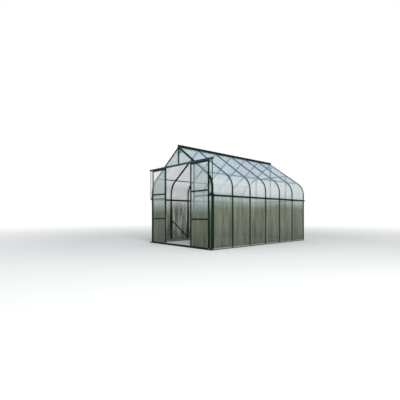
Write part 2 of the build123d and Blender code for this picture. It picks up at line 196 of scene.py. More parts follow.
# Dark green powder coat: satin, with a little orange peel, dusty at the foot and on what faces up
coat = {
    "green": (0.0036, 0.0135, 0.0065),
    "faded": (0.0070, 0.0205, 0.0125),
    "railGreen": (0.034, 0.060, 0.054),  # the door rail is lighter than the rest
    "railFaded": (0.052, 0.084, 0.080),
    "fade": (0.35, 0.6),  # share of the faded green in its patches, and more where a face looks up
    "patches": (2.3, 4.0, 0.6),  # of a noise: how many per metre, its detail and its roughness
    "patchSpan": (0.35, 0.7),
    "fadeSpan": (0.2, 0.9),  # of the way a face looks up
    "dust": (0.115, 0.112, 0.095),
    "dustShare": (0.55, 0.22),  # at the foot and on top
    "dustTop": 0.08,  # splashes end at this height
    "dustSpan": (0.75, 1.0),  # of the way a face looks up
    "speckles": (55.0, 5.0, 0.7),
    "speckleSpan": (0.45, 0.75),
    "paleBand": (0.400, 0.430, 0.370),  # a pale band on the outer faces of the side bases, not below the ribs
    "paleBandShare": 0.85,
    "paleBandFrom": (0.013, 0.017),  # heights between which it begins and ends
    "paleBandTo": (0.036, 0.041),
    "paleBandSpan": (0.7, 0.95),  # of the way a face looks sideways
    "paleBandSpeckle": (0.7, 1.0),
    "bandGap": (0.014, 0.022),  # half widths of the stretch without the band below a rib
    "roughness": (0.40, 0.56),
    "roughPatches": 14.0,
    "roughSpan": (0.3, 0.7),
    "dustRough": 0.35,
    "shine": 0.06,
    "peel": (900.0, 1.0),
    "peelBump": (0.0004, 0.25),  # height and strength
}


def makeCoat(name, plain, faded):
    material, tree, shader = newMaterial(name)
    place, spot = placeOf(tree)
    facing = facingOf(tree)
    patches = ramp(tree, noise(tree, place, *coat["patches"]), coat["patchSpan"])
    fadeAll, fadeTop = coat["fade"]
    topFade = times(tree, ramp(tree, facing[2], coat["fadeSpan"], (0.0, fadeTop)), patches, True)
    green = mixColour(tree, plus(tree, topFade, times(tree, patches, fadeAll), True), plain, faded)
    lowDust, topDust = coat["dustShare"]
    speckle = ramp(tree, noise(tree, place, *coat["speckles"]), coat["speckleSpan"])
    splash = times(tree, ramp(tree, spot[2], (0.0, coat["dustTop"]), (lowDust, 0.0)), speckle)
    settled = times(tree, ramp(tree, facing[2], coat["dustSpan"], (0.0, topDust)), speckle)
    dusty = plus(tree, splash, settled, True)
    # a pale band low on the sideways faces, starting a little above the ground so a dark line stays at the
    # foot
    sideways = ramp(tree, calc(tree, "ABSOLUTE", facing[0]), coat["paleBandSpan"])
    banded = ramp(tree, spot[2], coat["paleBandTo"], (coat["paleBandShare"], 0.0))
    banded = times(tree, banded, ramp(tree, spot[2], coat["paleBandFrom"]))
    banded = times(tree, banded, ramp(tree, fromRib(tree, spot[1]), coat["bandGap"]))
    banded = times(tree, sideways, banded)
    banded = times(tree, banded, ramp(tree, speckle, (0.0, 1.0), coat["paleBandSpeckle"]), True)
    dusted = mixColour(tree, dusty, green, coat["dust"])
    tree.links.new(mixColour(tree, banded, dusted, coat["paleBand"]), shader.inputs["Base Color"])
    rough = ramp(tree, noise(tree, place, coat["roughPatches"]), coat["roughSpan"], coat["roughness"])
    rough = plus(tree, rough, times(tree, dusty, coat["dustRough"]), True)
    tree.links.new(rough, shader.inputs["Roughness"])
    shader.inputs["Specular IOR Level"].default_value = coat["shine"]
    bump(tree, shader, noise(tree, place, *coat["peel"]), *coat["peelBump"])
    return material


# Clear twin-wall sheet: a greenish film low down, partly painted dark reflection, streaked along the flutes,
# dust above the base; bluer on the roof slopes as painted sky reflection; milky where it bends, a painted
# highlight, and where it is seen edge on; painted shade beside the bars
sheetLook = {
    # body is the colour on the roof slopes, bluer and darker than upright: painted sky reflection
    "body": (0.50, 0.585, 0.640),
    "eaveBody": (0.655, 0.695, 0.690),
    "paleLow": (0.255, 0.275, 0.190),  # streaks of the film and its painted dark reflection
    "darkLow": (0.022, 0.032, 0.014),
    "shade": (0.06, 0.12, 0.55),  # light one skin swallows: upright, more on the slopes as painted sky reflection, and more in the film with its painted dark reflection
    "stain": (0.02, 0.33, 0.33),  # colour of what it swallows less of
    # bluer stain on the roof slopes: painted sky reflection
    "slopeStainAndSky": (0.02, 0.36, 0.59),
    "paleStain": (0.125, 0.155, 0.062),
    "darkStain": (0.008, 0.017, 0.004),
    "filmAndReflectionTop": ((0.91, 1.16), (1.05, 1.40)),  # the film and its painted dark reflection thin out between these heights, gable and side
    "backRise": 0.15,  # this much higher on the back gable than on the front one
    "backSpan": (-1.5, 1.5),
    "filmAndReflectionWander": 0.25,
    "slopeSpan": (0.35, 0.80),  # of the way a face looks up, from upright sheet to roof slope
    "deep": (0.40, -0.16),  # how much darker the film and its painted dark reflection are at the lower of these heights and at the upper
    "deepHeights": (0.05, 1.0),
    "deepBands": 0.8,
    "thickLow": (1.25, 0.88),  # and how thick
    "thickLowHeights": (0.05, 0.66),
    "thickHigh": (0.90, 0.15),  # it thins out about the eave rail and the bend
    "thickHighHeights": (1.0, 1.45),
    "thickPatches": (0.70, 1.25),
    "thickBands": (0.45, 1.40),
    "patches": (1.9, 5.0, 0.62),
    "patchSpan": (0.36, 0.64),
    "clouds": (0.9, 2.0),
    "cloudSpan": (0.35, 0.65),
    "milk": (0.08, 0.18),  # how much of what lies behind one skin hides, clean and streaky
    "milkClouds": (0.75, 1.25),
    "bendHighlightMilk": 0.25,  # more where the sheets bend: painted highlight
    "filmAndReflectionMilk": 0.20,
    "dirtMilk": 0.16,
    "webMilk": 0.05,
    "edgeMilk": 0.14,
    "glance": (0.35, 3.0),  # blend and power of the measure of how edge on a skin is seen
    "webStreaks": (0.7, 1.3),
    "streaks": (6.0, 17.0, 110.0),  # per metre across the flutes
    "streakRise": (0.5, 1.3, 2.1),  # and along them
    "streakNoise": (1.0, 3.0, 0.6),
    "streakSpan": (0.38, 0.64),
    "bandSpan": (0.38, 0.62),
    "roughness": (0.12, 0.26),
    "dust": (0.36, 0.375, 0.325),
    "dustShare": 0.40,
    "dustHeights": (0.03, 0.60),
    "dustPatches": (9.0, 6.0, 0.65),
    "dustSpan": (0.42, 0.8),
    "dustMost": 0.8,
    "besideBar": (0.021, 0.050),  # from a bar's middle, where the painted shade and grime beside it thin out
    "besideCorner": (1.788, 1.827),  # where it thickens again towards the corner strips
    "shadeAndGrime": (0.16, 0.40),  # light it swallows, high up and in the film
    "shadeAndGrimeClouds": (0.75, 1.1),
    "bending": 1.58,  # index of refraction
    "shine": 0.9,
    "wave": 0.006,  # ripple of the skins across the flutes
    "waveBump": (0.0002, 0.35),
}


# Fine streaks and broad bands that run along the flutes
def streaksOf(tree, wide, up):
    grain = []
    for index, (perMetre, rise) in enumerate(zip(sheetLook["streaks"], sheetLook["streakRise"])):
        stretched = addNode(tree, "ShaderNodeCombineXYZ", None, X=times(tree, wide, perMetre),
                            Y=times(tree, up, rise), Z=float(index))
        grain.append(noise(tree, stretched.outputs[0], *sheetLook["streakNoise"]))
    broad = plus(tree, grain[0], grain[1])
    streak = ramp(tree, times(tree, plus(tree, broad, grain[2]), 1 / 3), sheetLook["streakSpan"])
    bands = ramp(tree, times(tree, broad, 1 / 2), sheetLook["bandSpan"])
    return streak, bands


# How much a skin hides, from its streaks, clouds, film with its painted dark reflection, and dirt; the side
# sheets hide more where they bend, a painted highlight
def skinMilk(tree, across, streak, cloud, filmAndReflection, slope, dirt):
    clouds = ramp(tree, cloud, sheetLook["cloudSpan"], sheetLook["milkClouds"])
    milk = times(tree, ramp(tree, streak, (0.0, 1.0), sheetLook["milk"]), clouds)
    milk = plus(tree, milk, times(tree, filmAndReflection, sheetLook["filmAndReflectionMilk"]))
    if across == 1:
        # whiter and milkier where the side sheets bend: painted highlight
        bendHighlight = times(tree, minus(tree, 1.0, slope), minus(tree, 1.0, filmAndReflection))
        milk = plus(tree, milk, times(tree, bendHighlight, sheetLook["bendHighlightMilk"]))
    blend, power = sheetLook["glance"]
    glance = addNode(tree, "ShaderNodeLayerWeight", None, Blend=blend).outputs["Facing"]
    milk = plus(tree, milk, times(tree, calc(tree, "POWER", glance, power), sheetLook["edgeMilk"]))
    return plus(tree, milk, times(tree, dirt, sheetLook["dirtMilk"]), True)


# How thick the film and its painted dark reflection lie, by height, in patches and in bands
def filmAndReflectionDepth(tree, place, up, filmAndReflection, bands):
    patches = noise(tree, place, *sheetLook["patches"])
    patches = ramp(tree, patches, sheetLook["patchSpan"], sheetLook["thickPatches"])
    depth = times(tree, patches, ramp(tree, up, sheetLook["thickLowHeights"], sheetLook["thickLow"]))
    depth = times(tree, depth, ramp(tree, up, sheetLook["thickHighHeights"], sheetLook["thickHigh"]))
    depth = times(tree, depth, ramp(tree, bands, (0.0, 1.0), sheetLook["thickBands"]))
    return times(tree, filmAndReflection, depth, True)


def makeSheet(name, across, web=False):
    material, tree, shader = newMaterial(name)
    place, spot = placeOf(tree)
    wide, up = spot[across], spot[2]
    streak, bands = streaksOf(tree, wide, up)
    splash = ramp(tree, up, sheetLook["dustHeights"], (sheetLook["dustShare"], 0.0))
    dirt = noise(tree, place, *sheetLook["dustPatches"])
    dirt = times(tree, splash, ramp(tree, dirt, sheetLook["dustSpan"], (0.0, sheetLook["dustMost"])))
    cloud = noise(tree, place, *sheetLook["clouds"])
    height = plus(tree, up, times(tree, cloud, sheetLook["filmAndReflectionWander"]))
    if across == 0:
        rise = ramp(tree, spot[1], sheetLook["backSpan"], (0.0, sheetLook["backRise"]))
        height = minus(tree, height, rise)
    # greenish and darker low down and towards the ground: partly a film, partly painted dark reflection
    filmAndReflection = ramp(tree, height, sheetLook["filmAndReflectionTop"][across], (1.0, 0.0))
    slope = ramp(tree, calc(tree, "ABSOLUTE", facingOf(tree)[2]), sheetLook["slopeSpan"])
    deep = ramp(tree, up, sheetLook["deepHeights"], sheetLook["deep"])
    deep = plus(tree, times(tree, bands, sheetLook["deepBands"]), deep, True)
    # bluer and darker where a face looks up the roof slope: painted sky reflection
    body = mixColour(tree, slope, sheetLook["eaveBody"], sheetLook["body"])
    body = mixColour(tree, filmAndReflection, body, mixColour(tree, deep, sheetLook["paleLow"], sheetLook["darkLow"]))
    body = mixColour(tree, dirt, body, sheetLook["dust"])
    if web:
        uneven = ramp(tree, streak, (0.0, 1.0), sheetLook["webStreaks"])
        hidden = times(tree, uneven, sheetLook["webMilk"], True)
    else:
        milk = skinMilk(tree, across, streak, cloud, filmAndReflection, slope, dirt)
        upright, sloping, filmAndReflectionShade = sheetLook["shade"]
        depth = filmAndReflectionDepth(tree, place, up, filmAndReflection, bands)
        # more shade and a bluer stain on the slopes: painted sky reflection
        shade = plus(tree, ramp(tree, slope, (0.0, 1.0), (upright, sloping)), times(tree, depth, filmAndReflectionShade))
        stain = mixColour(tree, slope, sheetLook["stain"], sheetLook["slopeStainAndSky"])
        lowStain = mixColour(tree, deep, sheetLook["paleStain"], sheetLook["darkStain"])
        stain = mixColour(tree, filmAndReflection, stain, lowStain)
        # painted shade, with grime, darker beside the bars and the corner strips
        if across == 1:
            nearBar = ramp(tree, fromRib(tree, wide), sheetLook["besideBar"], (1.0, 0.0))
            nearCorner = ramp(tree, calc(tree, "ABSOLUTE", wide), sheetLook["besideCorner"])
            shadeAndGrime = times(tree, calc(tree, "MAXIMUM", nearBar, nearCorner),
                          ramp(tree, cloud, sheetLook["cloudSpan"], sheetLook["shadeAndGrimeClouds"]))
            shadeAndGrimeAmount = times(tree, shadeAndGrime, ramp(tree, filmAndReflection, (0.0, 1.0), sheetLook["shadeAndGrime"]))
            shade = plus(tree, shade, shadeAndGrimeAmount, True)
            stain = mixColour(tree, shadeAndGrime, stain, sheetLook["darkStain"])
        swallowed = times(tree, minus(tree, 1.0, milk), shade)
        hidden = plus(tree, milk, swallowed, True)
        body = mixColour(tree, calc(tree, "DIVIDE", swallowed, hidden), body, stain)
    tree.links.new(body, shader.inputs["Base Color"])
    tree.links.new(hidden, shader.inputs["Alpha"])
    tree.links.new(ramp(tree, streak, (0.0, 1.0), sheetLook["roughness"]), shader.inputs["Roughness"])
    shader.inputs["IOR"].default_value = sheetLook["bending"]
    shader.inputs["Specular IOR Level"].default_value = sheetLook["shine"]
    wave = calc(tree, "SINE", times(tree, wide, 2 * math.pi / sheetLook["wave"]))
    bump(tree, shader, wave, *sheetLook["waveBump"])
    return material


# Zinc plate of the hangers, plates and bare bolts, and the dark rubber of beads, seals and end caps
zinc = {
    "colour": (0.52, 0.53, 0.54),
    "stain": (0.36, 0.36, 0.35),
    "stainShare": 0.7,
    "roughness": (0.28, 0.46),
    "spangle": 140.0,  # per metre, as the next two
    "stains": 30.0,
    "grain": 400.0,
    "stainSpan": (0.4, 0.7),
    "grainBump": (0.0002, 0.3),  # height and strength
}
rubber = {
    "colour": (0.016, 0.017, 0.018),
    "dust": (0.10, 0.10, 0.095),
    "dustShare": 0.5,
    "roughness": 0.72,
    "dustPatches": (40.0, 4.0),
    "dustSpan": (0.5, 0.8),
    "grain": 600.0,
    "grainBump": (0.0003, 0.4),
}


def makeZinc(name):
    material, tree, shader = newMaterial(name)
    place = placeOf(tree)[0]
    flakes = addNode(tree, "ShaderNodeTexVoronoi", None, Vector=place, Scale=zinc["spangle"])
    shade = ramp(tree, noise(tree, place, zinc["stains"]), zinc["stainSpan"], (0.0, zinc["stainShare"]))
    tree.links.new(mixColour(tree, shade, zinc["colour"], zinc["stain"]), shader.inputs["Base Color"])
    shader.inputs["Metallic"].default_value = 1.0
    level = addNode(tree, "ShaderNodeSeparateColor", None, Color=flakes.outputs["Color"]).outputs[0]
    tree.links.new(ramp(tree, level, (0.0, 1.0), zinc["roughness"]), shader.inputs["Roughness"])
    bump(tree, shader, noise(tree, place, zinc["grain"]), *zinc["grainBump"])
    return material


def makeRubber(name):
    material, tree, shader = newMaterial(name)
    place = placeOf(tree)[0]
    grey = noise(tree, place, *rubber["dustPatches"])
    grey = ramp(tree, grey, rubber["dustSpan"], (0.0, rubber["dustShare"]))
    tree.links.new(mixColour(tree, grey, rubber["colour"], rubber["dust"]), shader.inputs["Base Color"])
    shader.inputs["Roughness"].default_value = rubber["roughness"]
    bump(tree, shader, noise(tree, place, rubber["grain"]), *rubber["grainBump"])
    return material


greenCoat = makeCoat("greenPowderCoat", coat["green"], coat["faded"])
railCoat = makeCoat("greenPowderCoatLighter", coat["railGreen"], coat["railFaded"])
sideSheet = makeSheet("twinWallSide", 1)
gableSheet = makeSheet("twinWallGable", 0)
sideWeb = makeSheet("twinWallSideWeb", 1, web=True)
gableWeb = makeSheet("twinWallGableWeb", 0, web=True)
zincSteel = makeZinc("zincPlate")
blackRubber = makeRubber("blackRubber")

for name, node in nodes.items():
    if "hangers" in name:
        finish = zincSteel
    elif name.startswith(("roof_sheets", "wall_sheets")):
        finish = sideSheet
    elif "sheets" in name:
        finish = gableSheet
    elif name == "door_rail":
        finish = railCoat
    else:
        finish = greenCoat
    if not node.data.materials:
        node.data.materials.append(finish)
    for index in range(len(node.data.materials)):
        node.data.materials[index] = finish
print("finishes on the packed nodes")


# Points (x, z, outward x, outward z) of the right half of the sheet line, from foot up to the ridge
def archPath(foot, endX, spacing=None, bendSteps=12):
    points = [(house["wall"], foot, 1.0, 0.0)]
    for step in range(bendSteps + 1):
        turn = bendTurn * step / bendSteps
        out = (math.cos(turn), math.sin(turn))
        points.append((bendCentre + house["radius"] * out[0], bendStart + house["radius"] * out[1], *out))
    points.append((endX, house["apex"] - endX * drop, math.sin(slopeAngle), math.cos(slopeAngle)))
    if not spacing:
        return points
    placed, walked, nextStop = [], 0.0, spacing / 2
    for a, b in zip(points, points[1:]):
        length = math.hypot(b[0] - a[0], b[1] - a[1])
        while nextStop <= walked + length:
            t = (nextStop - walked) / length
            placed.append(tuple(a[k] + (b[k] - a[k]) * t for k in range(4)))
            nextStop += spacing
        walked += length
    return placed


# Height of the line that runs this far inside the sheet line, above x
def archHeight(x, inside):
    x, radius = abs(x), house["radius"] - inside
    if x <= bendCentre + radius * math.sin(slopeAngle):
        return house["apex"] - inside / math.cos(slopeAngle) - x * drop
    if x >= bendCentre + radius:
        return 0.0
    return bendStart + math.sqrt(radius ** 2 - (x - bendCentre) ** 2)


# Closed strip along an arch path, between two places along Y and two lifts off the sheet line
def sweep(build, path, sign, sides, low, high):
    rings = []
    for x, z, outX, outZ in path:
        rings.append([build.verts.new((sign * (x + outX * lift), y, z + outZ * lift))
                      for lift, y in ((low, sides[0]), (low, sides[1]), (high, sides[1]), (high, sides[0]))])
    for a, b in zip(rings, rings[1:]):
        for k in range(4):
            build.faces.new((a[k], a[(k + 1) % 4], b[(k + 1) % 4], b[k]))
    build.faces.new(rings[0][::-1])
    build.faces.new(rings[-1])


# Closed box between two corners, given in any order
def block(build, one, other):
    (x0, x1), (y0, y1), (z0, z1) = (sorted(pair) for pair in zip(one, other))
    corners = [build.verts.new((x, y, z)) for x in (x0, x1) for y in (y0, y1) for z in (z0, z1)]
    for ring in ((0, 1, 3, 2), (4, 6, 7, 5), (0, 4, 5, 1), (2, 3, 7, 6), (0, 2, 6, 4), (1, 5, 7, 3)):
        build.faces.new([corners[k] for k in ring])


# Upright plate parallel to the gables: an outline in x and z, thickened half to each side of y
def plate(build, outline, thick, place):
    faces = []
    for side in (0.5, -0.5):
        faces.append([build.verts.new(Vector(place) + Vector((a, side * thick, b))) for a, b in outline])
    build.faces.new(faces[0][::-1])
    build.faces.new(faces[1])
    for k in range(len(outline)):
        n = (k + 1) % len(outline)
        build.faces.new((faces[0][k], faces[0][n], faces[1][n], faces[1][k]))


# Hexagon head on a washer, standing on a surface that faces outward; the widths are shares of the head's
boltShape = {"washer": 0.0012, "washerFoot": 1.7, "washerTop": 1.6, "washerSides": 14, "headTop": 0.94}


def bolt(build, place, outward, size=0.0045, head=0.0035, washed=True):
    outward = Vector(outward).normalized()
    turn = Vector((0, 0, 1)).rotation_difference(outward).to_matrix().to_4x4()
    rise = 0.0
    if washed:
        rise = boltShape["washer"]
        bmesh.ops.create_cone(build, cap_ends=True, segments=boltShape["washerSides"],
                              radius1=size * boltShape["washerFoot"],
                              radius2=size * boltShape["washerTop"], depth=rise,
                              matrix=Matrix.Translation(Vector(place) + outward * (rise / 2)) @ turn)
    bmesh.ops.create_cone(build, cap_ends=True, segments=6, radius1=size,
                          radius2=size * boltShape["headTop"], depth=head,
                          matrix=Matrix.Translation(Vector(place) + outward * (rise + head / 2)) @ turn)


# The built mesh as an object with its finish, riding on a body, its edges rounded a little where asked
def placePiece(name, build, finish, body, edge=0.0):
    bmesh.ops.recalc_face_normals(build, faces=build.faces)
    mesh = bpy.data.meshes.new(name)
    build.to_mesh(mesh)
    build.free()
    mesh.materials.append(finish)
    piece = bpy.data.objects.new(name, mesh)
    bpy.context.collection.objects.link(piece)
    if edge:
        rounding = piece.modifiers.new("edges", "BEVEL")
        rounding.width = edge
        rounding.segments = 2
        rounding.limit_method = "ANGLE"
    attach(piece, body)


# Flutes: the webs between the two skins of each twin-wall sheet, upright or following the slope
flutes = {
    "pitch": 0.0065,
    "half": 0.0026,
    "thick": 0.0004,
    "margin": 0.002,  # from a sheet's edge
    "leafMargin": 0.001,
    "postEdge": 0.008,  # from the middle of a bar to the end of the webs
    "archInset": 0.016,
    "peakInset": 0.030,
    "shortest": 0.01,
    "bendSteps": 8,
    "paneLap": 0.007,  # how far a pane's webs reach into the bars of the leaf
}


def fluteStops(start, end, margin):
    start, end = start + margin, end - margin
    count = int((end - start) / flutes["pitch"])
    first = (start + end - (count - 1) * flutes["pitch"]) / 2
    return [first + k * flutes["pitch"] for k in range(count)]


# One straight web; across is its place along the sheet and plane the middle of the sheet
def straightWeb(build, across, low, high, plane, alongX):
    half, thin = flutes["half"], flutes["thick"] / 2
    if alongX:
        block(build, (across - thin, plane - half, low), (across + thin, plane + half, high))
    else:
        block(build, (plane - half, across - thin, low), (plane + half, across + thin, high))


for side, sign in (("left", -1), ("right", 1)):
    walls, roof = bmesh.new(), bmesh.new()
    for low, high in zip(stations, stations[1:]):
        middle = (low + high) / 2
        start = house["eaveRail"] + flutes["margin"]
        roofPath = archPath(start, house["railOut"], bendSteps=flutes["bendSteps"])
        for y in fluteStops(middle - house["sheetHalf"], middle + house["sheetHalf"], flutes["margin"]):
            top = house["eaveRail"] - flutes["margin"]
            straightWeb(walls, y, house["sheetFoot"], top, sign * house["wall"], False)
            sides = (y - flutes["thick"] / 2, y + flutes["thick"] / 2)
            sweep(roof, roofPath, sign, sides, -flutes["half"], flutes["half"])
    placePiece(f"wallFlutes_{side}", walls, sideWeb, "house")
    placePiece(f"roofFlutes_{side}", roof, sideWeb, "house")
print("side flutes")

postEdge = flutes["postEdge"]
rows = ((house["sheetFoot"], house["eaveRail"] - postEdge),
        (house["eaveRail"] + postEdge, house["tie"] - postEdge))
outerSheets = [(-house["sheetEdge"], -house["jamb"] - postEdge),
               (house["jamb"] + postEdge, house["sheetEdge"])]
innerSheets = [(-house["jamb"] + postEdge, -postEdge), (postEdge, house["jamb"] - postEdge)]
peakSheets = [(-house["sheetEdge"], -postEdge), (postEdge, house["sheetEdge"])]
peakRow = (house["tie"] + postEdge, house["apex"] - flutes["peakInset"])
for end, place in (("front", -house["gable"]), ("back", house["gable"])):
    webs = bmesh.new()
    sheets = outerSheets + (innerSheets if end == "back" else [])
    regions = [(*span, *row) for row in rows for span in sheets]
    regions += [(*span, *peakRow) for span in peakSheets]
    for x0, x1, z0, z1 in regions:
        for x in fluteStops(x0, x1, flutes["margin"]):
            top = min(z1, archHeight(x, flutes["archInset"]))
            if top > z0 + flutes["shortest"]:
                straightWeb(webs, x, z0, top, place, True)
    placePiece(f"gableFlutes_{end}", webs, gableWeb, "house")
for side in ("left", "right"):
    webs = bmesh.new()
    low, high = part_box(f"{side}_door_sheets")
    barLow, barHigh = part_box(f"{side}_door_rails")
    pitch = (barHigh[2] - barLow[2] - house["leafBar"]) / house["panes"]
    tall = pitch - house["leafBar"] + 2 * flutes["paneLap"]
    for x in fluteStops(low[0], high[0], flutes["leafMargin"]):
        for row in range(house["panes"]):
            z0 = barLow[2] + house["leafBar"] - flutes["paneLap"] + row * pitch
            straightWeb(webs, x, z0, z0 + tall, (low[1] + high[1]) / 2, True)
    placePiece(f"doorFlutes_{side}", webs, gableWeb, f"{side}_door")
print("gable and door flutes")

# Coated strips over the four corner posts, from the gable face onto the side sheets, up to the eave rail
strip = {"wide": 0.050, "thick": 0.0012, "foot": 0.041, "top": 1.1483, "edge": 0.0004}
stripEdge = gableFace - strip["wide"]
cornerStrips = bmesh.new()
for end in (-1, 1):
    for sign in (-1, 1):
        block(cornerStrips, (sign * capFace, end * stripEdge, strip["foot"]),
              (sign * (capFace + strip["thick"]), end * gableFace, strip["top"]))
placePiece("cornerStrips", cornerStrips, greenCoat, "house", strip["edge"])

# Upright bars of a gable; the front one has the doorway between its two
def postsOf(end):
    return (-house["jamb"], house["jamb"]) if end < 0 else (-house["jamb"], 0.0, house["jamb"])


# Rubber beads where the caps and strips press on the sheets
bead = {
    "width": 0.0040,
    "height": 0.0022,
    "foot": 0.042,
    "lookOut": 0.001,  # how far a corner bead looks out from under its strip
    "gap": 0.0001,  # between them
    "short": 0.001,
    "ridgeGap": 0.014,
    "peakGap": 0.034,
    "tieGap": (0.018, 0.020),  # from the middle of the tie beam, for level and upright beads
    "tieStart": 0.003,
    "tieRun": 0.060,  # the level beads stop where the slope is this far above the tie beam
}
inFace, outFace = house["skin"], house["skin"] + bead["height"]
beads = bmesh.new()
for y in stations:
    atEnd = abs(y) > stripEdge
    edges = [y - house["capHalf"], y + house["capHalf"]]
    if atEnd:
        edges = [math.copysign(abs(y) - house["cornerBack"], y)]
    for edge in edges:
        out = 1 if edge > y else -1
        path = archPath(strip["top"] if atEnd else bead["foot"], house["railOut"] + bead["ridgeGap"])
        for sign in (-1, 1):
            sweep(beads, path, sign, sorted((edge, edge + out * bead["width"])), inFace, outFace)
    if atEnd:
        end = 1 if y > 0 else -1
        near, far = end * (stripEdge - bead["lookOut"]), end * (stripEdge + bead["width"])
        for sign in (-1, 1):
            block(beads, (sign * (house["wall"] + inFace), near, bead["foot"]),
                  (sign * (capFace - bead["gap"]), far, strip["top"] - bead["short"]))
levelGap, uprightGap = bead["tieGap"]
reach = (house["apex"] - house["tie"] - bead["tieRun"]) / drop
for end in (-1, 1):
    near, far = end * (house["gable"] + inFace), end * (house["gable"] + outFace)
    for side in (-1, 1):
        for x in postsOf(end):
            if end < 0 and side * x < 0:
                continue  # the doorway side of a jamb holds no sheet
            edge = x + side * house["capHalf"]
            block(beads, (edge, near, bead["foot"]),
                  (edge + side * bead["width"], far, house["tie"] - uprightGap))
        edge = side * house["capHalf"]
        block(beads, (edge, near, house["tie"] + uprightGap),
              (edge + side * bead["width"], far, house["apex"] - bead["peakGap"]))
        block(beads, (edge + side * bead["tieStart"], near, house["tie"] + levelGap),
              (side * reach, far, house["tie"] + levelGap + bead["width"]))
placePiece("glazingBeads", beads, blackRubber, "house")

# Coated screws through the caps of the ribs and posts
screws = {
    "spacing": 0.36,
    "size": 0.0042,
    "foot": 0.05,
    "ridgeGap": 0.02,
    "lead": 0.004,  # the end ribs have theirs this much nearer the gable
    "railGap": 0.05,  # none this near the eave rail
    "posts": (0.12, 0.45, 0.80, 1.10, 1.35, 1.62),
    "peak": (2.03, 2.24),
}
capScrews = bmesh.new()
screwPath = archPath(screws["foot"], house["railOut"] + screws["ridgeGap"], screws["spacing"])
for index, y in enumerate(stations):
    lead = {0: -screws["lead"], house["bays"]: screws["lead"]}.get(index, 0.0)
    for x, z, outX, outZ in screwPath:
        if abs(z - house["eaveRail"]) <= screws["railGap"]:
            continue
        lift = house["cap"] + (strip["thick"] if lead and z < strip["top"] else 0.0)
        for sign in (-1, 1):
            bolt(capScrews, (sign * (x + outX * lift), y + lead, z + outZ * lift), (sign * outX, 0, outZ),
                 screws["size"])
for end in (-1, 1):
    heads = [(x, z) for x in postsOf(end) for z in screws["posts"]] + [(0.0, z) for z in screws["peak"]]
    for x, z in heads:
        bolt(capScrews, (x, end * gableFace, z), (0, end, 0), screws["size"])
placePiece("capScrews", capScrews, greenCoat, "house")

# Coated bolts of the eave rails, a pair at each rib, and of the base frame
railBolt = {"railDeep": 0.014, "apart": 0.008, "base": 0.024, "size": 0.0050, "head": 0.0042}
railBolts = bmesh.new()
for y in stations:
    for sign in (-1, 1):
        places = [(capFace + railBolt["railDeep"], y + offset, house["eaveRail"])
                  for offset in (-railBolt["apart"], railBolt["apart"])]
        for x, along, z in places + [(capFace, y, railBolt["base"])]:
            bolt(railBolts, (sign * x, along, z), (sign, 0, 0), railBolt["size"], railBolt["head"])
placePiece("eaveRailBolts", railBolts, greenCoat, "house")
print("beads, screws and bolts")

# Fish plates that join the two halves of each arch below the ridge
fish = {
    "long": 0.105,
    "deep": 0.026,
    "thick": 0.003,
    "notch": 0.0215,  # half width of the level stretch under the ridge bar
    "trim": 0.004,
    "rise": 0.020,
    "beside": 0.0037,  # from the middle of the rib
    "bolts": (-0.085, -0.045, 0.045, 0.085),
    "size": 0.0048,
    "head": 0.004,
    "edge": 0.0004,
}
fishPlates, fishBolts = bmesh.new(), bmesh.new()
apexFoot = house["apex"] - house["foot"] / math.cos(slopeAngle)
crest = apexFoot + fish["rise"]
long, notch, trim = fish["long"], fish["notch"], fish["trim"]
rightArm = [(long, -fish["deep"] - long * drop), (long, trim - long * drop),
            (notch, trim - notch * drop), (notch, -trim)]
chevron = [(0, -fish["deep"])] + rightArm + [(-x, z) for x, z in reversed(rightArm)]
for y in stations[1:-1]:
    plate(fishPlates, chevron, fish["thick"], (0, y - fish["beside"], crest))
    for x in fish["bolts"]:
        z = crest - fish["deep"] / 2 - abs(x) * drop
        place = (x, y - fish["beside"] - fish["thick"] / 2, z)
        bolt(fishBolts, place, (0, -1, 0), fish["size"], fish["head"])
placePiece("ridgeFishPlates", fishPlates, zincSteel, "house", fish["edge"])
placePiece("ridgeFishBolts", fishBolts, zincSteel, "house")

# Moulded caps on the ends of the ridge bar
ridgeCap = {"thick": 0.003, "top": 0.010, "edge": 0.0012}
ridgeLow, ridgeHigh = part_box("ridge_bar")
ridgeCaps = bmesh.new()
side, shoulder = house["ridgeHalf"], ridgeHigh[2] - ridgeCap["top"]
capShape = [(-side, ridgeLow[2]), (side, ridgeLow[2]), (side, shoulder), (ridgeCap["top"], ridgeHigh[2]),
            (-ridgeCap["top"], ridgeHigh[2]), (-side, shoulder)]
for y, out in ((ridgeLow[1], -1), (ridgeHigh[1], 1)):
    plate(ridgeCaps, capShape, ridgeCap["thick"], (0, y + out * ridgeCap["thick"] / 2, 0))
placePiece("ridgeEndCaps", ridgeCaps, blackRubber, "house", ridgeCap["edge"])

# Caps and stops on the ends of the door rail, the bottom track and the eave rails
endCap = {"thick": 0.0025, "proud": 0.0005, "edge": 0.0008}
endCaps = bmesh.new()
proud = endCap["proud"]
for node in ("door_rail", "door_track"):
    low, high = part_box(node)
    for x, out in ((low[0], -1), (high[0], 1)):
        block(endCaps, (x, low[1] - proud, low[2]),
              (x + out * endCap["thick"], high[1] + proud, high[2] + proud))
low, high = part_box("eave_rails")
for sign in (-1, 1):
    for y, out in ((low[1], -1), (high[1], 1)):
        block(endCaps, (sign * (capFace + proud), y, low[2] - proud),
              (sign * (high[0] + proud), y + out * endCap["thick"], high[2] + proud))
placePiece("endCaps", endCaps, blackRubber, "house", endCap["edge"])

